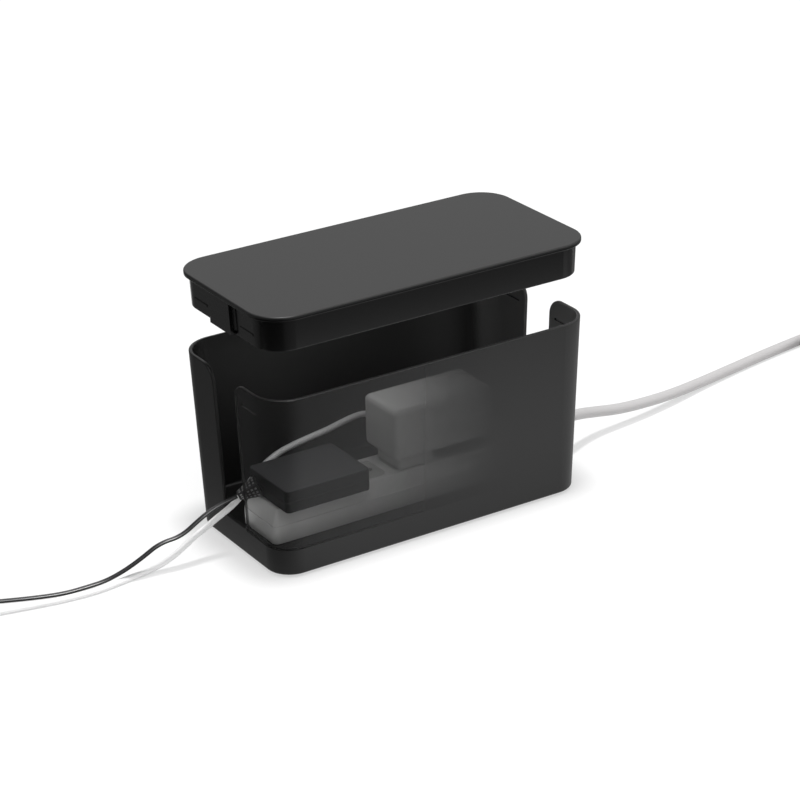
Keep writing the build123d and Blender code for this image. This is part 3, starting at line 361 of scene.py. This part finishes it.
# ---------------------------------------------------------------- power strip
# Two white plastic case halves with satin sides, held by zinc screws, over pale socket faces.
# Inside are sprung brass bars, and the lead's three coloured cores.
SATIN_SPREAD = 0.08  # of the roughness, with the grain
SATIN_RELIEF = (0.10, 0.00003)
EARTH_GREEN = (0.02, 0.22, 0.05, 1.0)
LIVE_BLACK = (0.012, 0.012, 0.012, 1.0)
NEUTRAL_WHITE = (0.72, 0.72, 0.70, 1.0)
LIVE_FROM = (-0.0112, -0.0108)  # the live core lies behind this, and the neutral one in front
NEUTRAL_TO = (-0.0242, -0.0238)


def satin(name, colour, roughness, scale=900.0):
    """A plain moulding, metal or rubber: one colour, with a fine grain."""
    made = Finish(name)
    fine = made.noise(scale, 1.0)
    return made.set(
        Base_Color=colour,
        Roughness=roughness - SATIN_SPREAD / 2 + SATIN_SPREAD * fine,
        Normal=made.relief(fine, *SATIN_RELIEF),
    )


strip_plastic = satin("strip_plastic", (0.88, 0.88, 0.87, 1.0), 0.42)
socket_plastic = satin("socket_plastic", (0.58, 0.58, 0.57, 1.0), 0.38)
contact_brass = satin("contact_brass", (0.80, 0.58, 0.26, 1.0), 0.30, 200.0).set(Metallic=1.0)
screw_steel = satin("screw_steel", (0.62, 0.62, 0.63, 1.0), 0.32, 400.0).set(Metallic=1.0)

core_insulation = Finish("core_insulation")
across = core_insulation.axes()[1]
live = core_insulation.smooth(across, *LIVE_FROM)
neutral = 1.0 - core_insulation.smooth(across, *NEUTRAL_TO)
earth_or_live = core_insulation.blend(live, EARTH_GREEN, LIVE_BLACK)
core_insulation.set(
    Base_Color=core_insulation.blend(neutral, earth_or_live, NEUTRAL_WHITE), Roughness=0.35
)


# ---------------------------------------------------------------- mains lead
# A round grey rubber lead from the power strip. It runs along the floor to a neat coil, and ends in
# a moulded plug with plated pins that lies on the coil.
MAINS_RADIUS = 0.0037
MAINS_REST = 0.00375  # height of its middle where it lies on the floor
MAINS_ROUTE = [
    (0.1104, -0.0085, 0.0295),
    (0.1230, -0.0082, 0.0290),
    (0.1370, -0.0046, 0.0268),
    (0.1520, 0.0024, 0.0226),
    (0.1700, 0.0076, 0.0174),
    (0.1900, 0.0100, 0.0132),
    (0.2120, 0.0128, 0.0106),
    (0.2410, 0.0188, 0.0073),
    (0.2730, 0.0274, 0.0047),
    (0.3110, 0.0358, MAINS_REST),
    (0.3480, 0.0426, MAINS_REST),
    (0.3810, 0.0475, MAINS_REST),
    (0.4100, 0.0509, MAINS_REST),
]
COIL_STEPS = 16  # points in a turn
ROW_STEP = 0.8  # how far round its turn a coil steps to the next row
LAYER_STEP = 0.6  # and to the next layer
STEP_BACK = 0.4  # how much sooner both come on each layer above
STEP_LENGTH = 0.18  # share of a turn that a step takes


def eased(value, low, high):
    share = min(max((value - low) / (high - low), 0.0), 1.0)
    return share * share * (3 - 2 * share)


def coil_points(after, centre, middle_turn, pitch, rise, rows, layers, sense, turns, low):
    """Points of a neat coil, wound inwards and outwards in turn, layer on layer.

    It follows on from the point after. sense is 1 to the left and -1 to the right. A layer's turns
    step sideways, and climb to the next layer, each at its own place."""
    start = math.atan2(after[1] - centre[1], after[0] - centre[0])
    bulge = 0.75 + 0.25 * math.cos(2 * math.pi / COIL_STEPS)  # the curve runs inside its points
    outer = middle_turn + pitch * (rows - 1) / 2
    points = []
    for step in range(1, round(turns * COIL_STEPS) + 1):
        turned = step / COIL_STEPS
        row = 0.0
        level = 0.0
        for layer in range(layers):
            first = layer * rows
            for crossing in range(rows - 1):
                at = first + crossing + ROW_STEP - STEP_BACK * layer
                row += eased(turned, at, at + STEP_LENGTH) * (1 if layer % 2 == 0 else -1)
            if layer + 1 < layers:
                at = first + rows - 1 + LAYER_STEP - STEP_BACK * layer
                level += eased(turned, at, at + STEP_LENGTH)
        angle = start + sense * 2 * math.pi * turned
        reach = (outer - row * pitch) / bulge
        points.append((
            centre[0] + reach * math.cos(angle),
            centre[1] + reach * math.sin(angle),
            low + rise * level,
        ))
    return points


def cord_line(name, points):
    """The smooth line through a cord's points."""
    curve = bpy.data.curves.new(name, "CURVE")
    curve.dimensions = "3D"
    curve.resolution_u = 8
    spline = curve.splines.new("NURBS")
    spline.points.add(len(points) - 1)
    for point, place in zip(spline.points, points):
        point.co = (*place, 1.0)
    spline.order_u = 3
    spline.use_endpoint_u = True
    line = bpy.data.objects.new(name, curve)
    bpy.context.collection.objects.link(line)
    return line


def line_places(line):
    """The places along a line's smooth curve."""
    return [vertex.co.copy() for vertex in bpy.data.meshes.new_from_object(line).vertices]


def length_of(places):
    return sum((after - before).length for before, after in zip(places, places[1:]))


MAINS_COIL = (0.4156, 0.0031)
MAINS_TURN = 0.0407
MAINS_TURNS = 5.125
MAINS_END = [
    (0.4585, 0.0275, 0.0116),
    (0.4665, 0.0175, 0.0130),
    (0.4718, 0.0065, 0.0154),
    (0.4734, -0.0060, 0.0184),
    (0.4705, -0.0190, 0.0216),
    (0.4625, -0.0300, 0.0242),
    (0.4525, -0.0364, 0.0256),
    (0.4436, -0.0376, 0.0259),
    (0.4380, -0.0376, 0.0259),
]
mains_turns = coil_points(
    MAINS_ROUTE[-1], MAINS_COIL, MAINS_TURN, pitch=2 * MAINS_RADIUS, rise=2 * MAINS_RADIUS,
    rows=3, layers=2, sense=-1, turns=MAINS_TURNS, low=MAINS_REST,
)
mains = cord_line("mains_lead", MAINS_ROUTE + mains_turns + MAINS_END)
mains_length = length_of(line_places(mains))
mains.data.bevel_depth = MAINS_RADIUS
mains.data.bevel_resolution = 6
mains.data.use_fill_caps = True
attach(mains, "root")
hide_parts("mains_cord", "mains_coil")
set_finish(mains, "lead_rubber")
lead_rubber = satin("lead_rubber", (0.50, 0.49, 0.49, 1.0), 0.45)
plug_plastic = satin("plug_plastic", (0.60, 0.59, 0.59, 1.0), 0.40)
plated_blade = satin("plated_blade", (0.72, 0.70, 0.66, 1.0), 0.22, 250.0).set(Metallic=1.0)
mains.data.materials.append(lead_rubber.material)


# ---------------------------------------------------------------- adapter
# A flat block in two halves of satin black plastic, with plated blades underneath. Its upward faces
# are painted lighter, as a painted sheen. It holds a circuit board and a wound transformer, as the
# charger does.
ADAPTER_SIDE = (0.009, 0.009, 0.010, 1.0)
ADAPTER_PAINTED_SHEEN = (0.062, 0.062, 0.066, 1.0)
TOP_TURN = (0.5, 0.9)  # a face turned this far up belongs to the top

adapter_plastic = satin("adapter_plastic", ADAPTER_SIDE, 0.42)
# Painted sheen: faces turned up are painted a lighter grey than the sides.
top = adapter_plastic.smooth(adapter_plastic.facing()[2], *TOP_TURN)
adapter_plastic.set(Base_Color=adapter_plastic.blend(top, ADAPTER_SIDE, ADAPTER_PAINTED_SHEEN))
circuit_board = satin("circuit_board", (0.02, 0.13, 0.05, 1.0), 0.35)
transformer_core = satin("transformer_core", (0.10, 0.08, 0.05, 1.0), 0.45)


# ---------------------------------------------------------------- adapter's strain relief
# A black rubber sleeve, broad where it leaves the adapter and narrow at the lead. Rows of small
# windows let it bend, and their floors are painted pale grey as painted glints.
SLEEVE_FOOT = Vector((-0.1016, -0.0100, 0.0458))
SLEEVE_TIP = Vector((-0.1140, -0.0050, 0.0398))
SLEEVE_LENGTH = 0.0139
SLEEVE_BROAD = (0.0165, 0.0110)  # across and high, at the adapter
SLEEVE_NARROW = (0.0058, 0.0050)
SLEEVE_ROWS = 11  # bands from foot to tip, and every second one has windows
SLEEVE_STRIPS = 7  # strips across each side, and every second one has windows
WINDOW_FRAME = 0.02  # before the sleeve gets its size
WINDOW_DEPTH = 0.0004
CORNER_ROUND = 0.28
ALIGNED = 0.9  # a direction with more than this share along an axis runs along it

lean = SLEEVE_TIP - SLEEVE_FOOT
sideways = Vector((0, 0, 1)).cross(lean).normalized()
overhead = lean.cross(sideways).normalized()
sleeve = bmesh.new()
bmesh.ops.create_cube(sleeve, size=2.0)
for axis, cuts in enumerate([SLEEVE_ROWS - 1, SLEEVE_STRIPS - 1, SLEEVE_STRIPS - 1]):
    along_axis = [
        edge for edge in sleeve.edges
        if abs((edge.verts[0].co - edge.verts[1].co).normalized()[axis]) > ALIGNED
    ]
    bmesh.ops.subdivide_edges(sleeve, edges=along_axis, cuts=cuts, use_grid_fill=True)
windows = []
for face in sleeve.faces:
    middle = face.calc_center_median()
    row = int((middle.x + 1) / 2 * SLEEVE_ROWS)
    across_face = middle.y if abs(face.normal.z) > ALIGNED else middle.z
    strip = int((across_face + 1) / 2 * SLEEVE_STRIPS)
    if abs(face.normal.x) < ALIGNED and row % 2 == 1 and strip % 2 == 1:
        windows.append(face)
for face in windows:
    face.material_index = 1
bmesh.ops.inset_individual(sleeve, faces=windows, thickness=WINDOW_FRAME)
sunk = {vertex for face in windows for vertex in face.verts}
for vertex in sleeve.verts:
    share = (vertex.co.x + 1) / 2
    u, v = vertex.co.y, vertex.co.z
    width, tall = [
        (broad + (narrow - broad) * share) / 2 - (WINDOW_DEPTH if vertex in sunk else 0)
        for broad, narrow in zip(SLEEVE_BROAD, SLEEVE_NARROW)
    ]
    u, v = u * math.sqrt(1 - CORNER_ROUND * v * v), v * math.sqrt(1 - CORNER_ROUND * u * u)
    vertex.co = (
        SLEEVE_FOOT + lean.normalized() * SLEEVE_LENGTH * share
        + sideways * u * width + overhead * v * tall
    )
bmesh.ops.recalc_face_normals(sleeve, faces=sleeve.faces)
adapter_sleeve = bpy.data.objects.new("adapter_sleeve", bpy.data.meshes.new("adapter_sleeve"))
sleeve.to_mesh(adapter_sleeve.data)
sleeve.free()
bpy.context.collection.objects.link(adapter_sleeve)
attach(adapter_sleeve, "adapter")
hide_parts("adapter_relief")
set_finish(adapter_sleeve, "adapter_rubber")
adapter_rubber = satin("adapter_rubber", (0.006, 0.006, 0.007, 1.0), 0.30)
adapter_rubber.set(Specular_IOR_Level=1.0)
# Painted glints: the windows' floors are a pale grey.
painted_window_glint = satin("painted_window_glint", grey(0.42), 0.5)
adapter_sleeve.data.materials.append(adapter_rubber.material)
adapter_sleeve.data.materials.append(painted_window_glint.material)


# ---------------------------------------------------------------- adapter lead
# A flat black twin lead: two cores side by side with a groove between them. It runs from the
# adapter, out of the left slot, to a coil of flat turns, and ends in a barrel connector.
DC_WIDTH = 0.0035
DC_LOBE = 0.00095  # radius of each core's covering
LOBE_STEPS = 9
DC_REST = 0.0018  # height of its points on the floor
DC_SIT = 0.0008  # how far the flat lead lies below its route's points, on the floor
SIT_FROM = (0.19, 0.229)  # the stretch to the left of the box where it comes down
DC_ROUTE = [
    (-0.1140, -0.0050, 0.0398),
    (-0.1207, -0.0029, 0.0372),
    (-0.1300, -0.0018, 0.0342),
    (-0.1390, -0.0022, 0.0304),
    (-0.1525, -0.0020, 0.0222),
    (-0.1665, 0.0000, 0.0208),
    (-0.1790, 0.0008, 0.0138),
    (-0.1910, 0.0024, 0.0078),
    (-0.2020, 0.0050, 0.0036),
    (-0.2140, 0.0070, 0.0026),
    (-0.2290, 0.0094, DC_REST),
    (-0.2470, 0.0154, DC_REST),
    (-0.2690, 0.0250, DC_REST),
    (-0.2900, 0.0330, DC_REST),
]
DC_COIL = (-0.2818, 0.0545)
DC_TURN = 0.0195
DC_LAYER = 0.00195
DC_TURNS = 10.6875
DC_END = [
    (-0.2598, 0.0478, 0.0082),
    (-0.2623, 0.0419, 0.0094),
    (-0.2675, 0.0361, 0.0101),
    (-0.2745, 0.0322, 0.0106),
    (-0.2828, 0.0299, 0.0112),
    (-0.2908, 0.0299, 0.0120),
    (-0.2974, 0.0331, 0.0128),
    (-0.3013, 0.0415, 0.0133),
    (-0.3013, 0.0455, 0.0133),
]


def cord_places(points):
    """The places along the smooth line through a cord's points."""
    line = cord_line("cord_line", points)
    places = line_places(line)
    bpy.data.objects.remove(line)
    return places


def lobe(middle, radius, first, last, steps):
    """Points of an arc of a lead's outline, between two angles in degrees."""
    angles = [math.radians(first + (last - first) * step / steps) for step in range(steps + 1)]
    return [(middle + radius * math.cos(a), radius * math.sin(a)) for a in angles]


def swept(name, places, outline, sit=0.0):
    """A tube with the given outline along places. Its flat side stays level, and beyond the slope
    down to the floor it lies lower by sit."""
    mesh = bmesh.new()
    rings = []
    last = len(places) - 1
    for step, place in enumerate(places):
        along = (places[min(step + 1, last)] - places[max(step - 1, 0)]).normalized()
        side = along.cross(Vector((0, 0, 1))).normalized()
        over = side.cross(along)
        drop = Vector((0, 0, -sit * eased(-place.x, *SIT_FROM)))
        rings.append([mesh.verts.new(place + drop + side * u + over * v) for u, v in outline])
    for ring, following in zip(rings, rings[1:]):
        for n in range(len(outline)):
            m = (n + 1) % len(outline)
            mesh.faces.new((ring[n], ring[m], following[m], following[n])).smooth = True
    mesh.faces.new(rings[0][::-1])
    mesh.faces.new(rings[-1])
    bmesh.ops.recalc_face_normals(mesh, faces=mesh.faces)
    tube = bpy.data.objects.new(name, bpy.data.meshes.new(name))
    mesh.to_mesh(tube.data)
    mesh.free()
    bpy.context.collection.objects.link(tube)
    return tube


lobe_middle = DC_WIDTH / 2 - DC_LOBE
meet = math.degrees(math.acos(-lobe_middle / DC_LOBE))
twin_outline = lobe(lobe_middle, DC_LOBE, -meet, meet, LOBE_STEPS)[:-1]
twin_outline += lobe(-lobe_middle, DC_LOBE, 180 - meet, 180 + meet, LOBE_STEPS)[:-1]
dc_turns = coil_points(
    DC_ROUTE[-1], DC_COIL, DC_TURN, pitch=DC_WIDTH, rise=DC_LAYER,
    rows=3, layers=4, sense=-1, turns=DC_TURNS, low=DC_REST,
)
dc_places = cord_places(DC_ROUTE + dc_turns + DC_END)
adapter_lead = swept("adapter_lead", dc_places, twin_outline, DC_SIT)
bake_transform(adapter_lead)
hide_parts("adapter_cord", "adapter_coil")
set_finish(adapter_lead, "adapter_rubber")
adapter_lead.data.materials.append(adapter_rubber.material)


# ---------------------------------------------------------------- charger
# A white block of smooth, nearly glossy plastic that stands on the strip, with an end cap, a plug
# base and plated blades.
charger_plastic = satin("charger_plastic", (0.74, 0.74, 0.73, 1.0), 0.24)


# ---------------------------------------------------------------- charger lead
# A round white lead from the back of the charger. It crosses behind the adapter to the left slot,
# and ends in a flat connector on its coil.
USB_RADIUS = 0.002
USB_REST = 0.00205  # height of its middle where it lies on the floor
ROUND_STEPS = 14
USB_ROUTE = [
    (-0.0045, 0.0099, 0.0609),
    (-0.0072, 0.0162, 0.0599),
    (-0.0124, 0.0209, 0.0576),
    (-0.0210, 0.0226, 0.0550),
    (-0.0325, 0.0208, 0.0536),
    (-0.0462, 0.0182, 0.0534),
    (-0.0605, 0.0154, 0.0529),
    (-0.0735, 0.0126, 0.0520),
    (-0.0860, 0.0090, 0.0488),
    (-0.0985, 0.0052, 0.0424),
    (-0.1070, 0.0012, 0.0368),
    (-0.1135, 0.0002, 0.0326),
    (-0.1195, 0.0002, 0.0294),
    (-0.1260, 0.0006, 0.0260),
    (-0.1340, 0.0014, 0.0212),
    (-0.1410, 0.0012, 0.0184),
    (-0.1485, 0.0014, 0.0134),
    (-0.1565, 0.0016, 0.0086),
    (-0.1655, 0.0028, 0.0044),
    (-0.1770, 0.0034, 0.0022),
    (-0.1920, 0.0018, USB_REST),
    (-0.2090, -0.0010, USB_REST),
    (-0.2310, 0.0006, USB_REST),
    (-0.2520, 0.0048, USB_REST),
    (-0.2700, 0.0088, USB_REST),
    (-0.2880, 0.0134, USB_REST),
    (-0.3046, 0.0182, USB_REST),
]
USB_COIL = (-0.3118, -0.0068)
USB_TURN = 0.022
USB_TURNS = 7.625
USB_END = [
    (-0.2971, -0.0171, 0.0106),
    (-0.2942, -0.0105, 0.0118),
    (-0.2936, -0.0029, 0.0130),
    (-0.2952, 0.0052, 0.0140),
    (-0.2993, 0.0131, 0.0144),
    (-0.3093, 0.0214, 0.0147),
    (-0.3188, 0.0244, 0.0150),
    (-0.3278, 0.0230, 0.0152),
    (-0.3332, 0.0184, 0.01535),
    (-0.3338, 0.0117, 0.01535),
    (-0.3338, 0.0072, 0.01535),
]
usb_turns = coil_points(
    USB_ROUTE[-1], USB_COIL, USB_TURN, pitch=2 * USB_RADIUS, rise=2 * USB_RADIUS,
    rows=3, layers=3, sense=1, turns=USB_TURNS, low=USB_REST,
)
usb_places = cord_places(USB_ROUTE + usb_turns + USB_END)
round_outline = lobe(0.0, USB_RADIUS, 0, 360, ROUND_STEPS)[:-1]
charger_lead = swept("charger_lead", usb_places, round_outline)
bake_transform(charger_lead)
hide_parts("charger_cord", "charger_coil")
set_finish(charger_lead, "charger_rubber")
charger_rubber = satin("charger_rubber", (0.90, 0.90, 0.90, 1.0), 0.38)
charger_lead.data.materials.append(charger_rubber.material)


# ---------------------------------------------------------------- lid
# A moulding of the same black plastic: a plate with a satin top, and a smoother skirt with a tongue
# at each end, whose darker grey is painted shade. It lies on the box's rim and snaps in.
LID_TOP = 0.1727
LID_EDGE = 0.0012  # height of the plate's rounded edge
SKIRT_PAINTED_SHADE = 0.002
TOP_GREY = 0.008

lid_plastic = Finish("lid_plastic")
grain = lid_plastic.noise(MOULD_GRAIN, 1.0)
# Painted shade: the skirt's grey is darker than the top's.
top = lid_plastic.smooth(lid_plastic.axes()[2], LID_TOP - LID_EDGE, LID_TOP)
lid_plastic.set(
    Base_Color=lid_plastic.blend(top, grey(SKIRT_PAINTED_SHADE), grey(TOP_GREY)),
    Roughness=0.20 + 0.22 * top,
    Normal=lid_plastic.relief(grain, *MOULD_RELIEF),
    Specular_IOR_Level=0.43,
)


# ---------------------------------------------------------------- dressing
# The leads and the sleeve have their finishes already. Each other piece takes the finish that its
# slot names.
finishes = [
    box_plastic, foot_rubber, strip_plastic, socket_plastic, contact_brass, screw_steel,
    core_insulation, lead_rubber, plug_plastic, plated_blade, adapter_plastic, circuit_board,
    transformer_core, adapter_rubber, charger_plastic, charger_rubber, lid_plastic,
]
by_slot = {finish.name: finish.material for finish in finishes}
for node in bpy.data.objects:
    if node.type == "MESH" and node.get("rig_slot") is None and node.data.materials:
        for place in node.material_slots:
            if place.material and place.material.name in by_slot:
                place.material = by_slot[place.material.name]
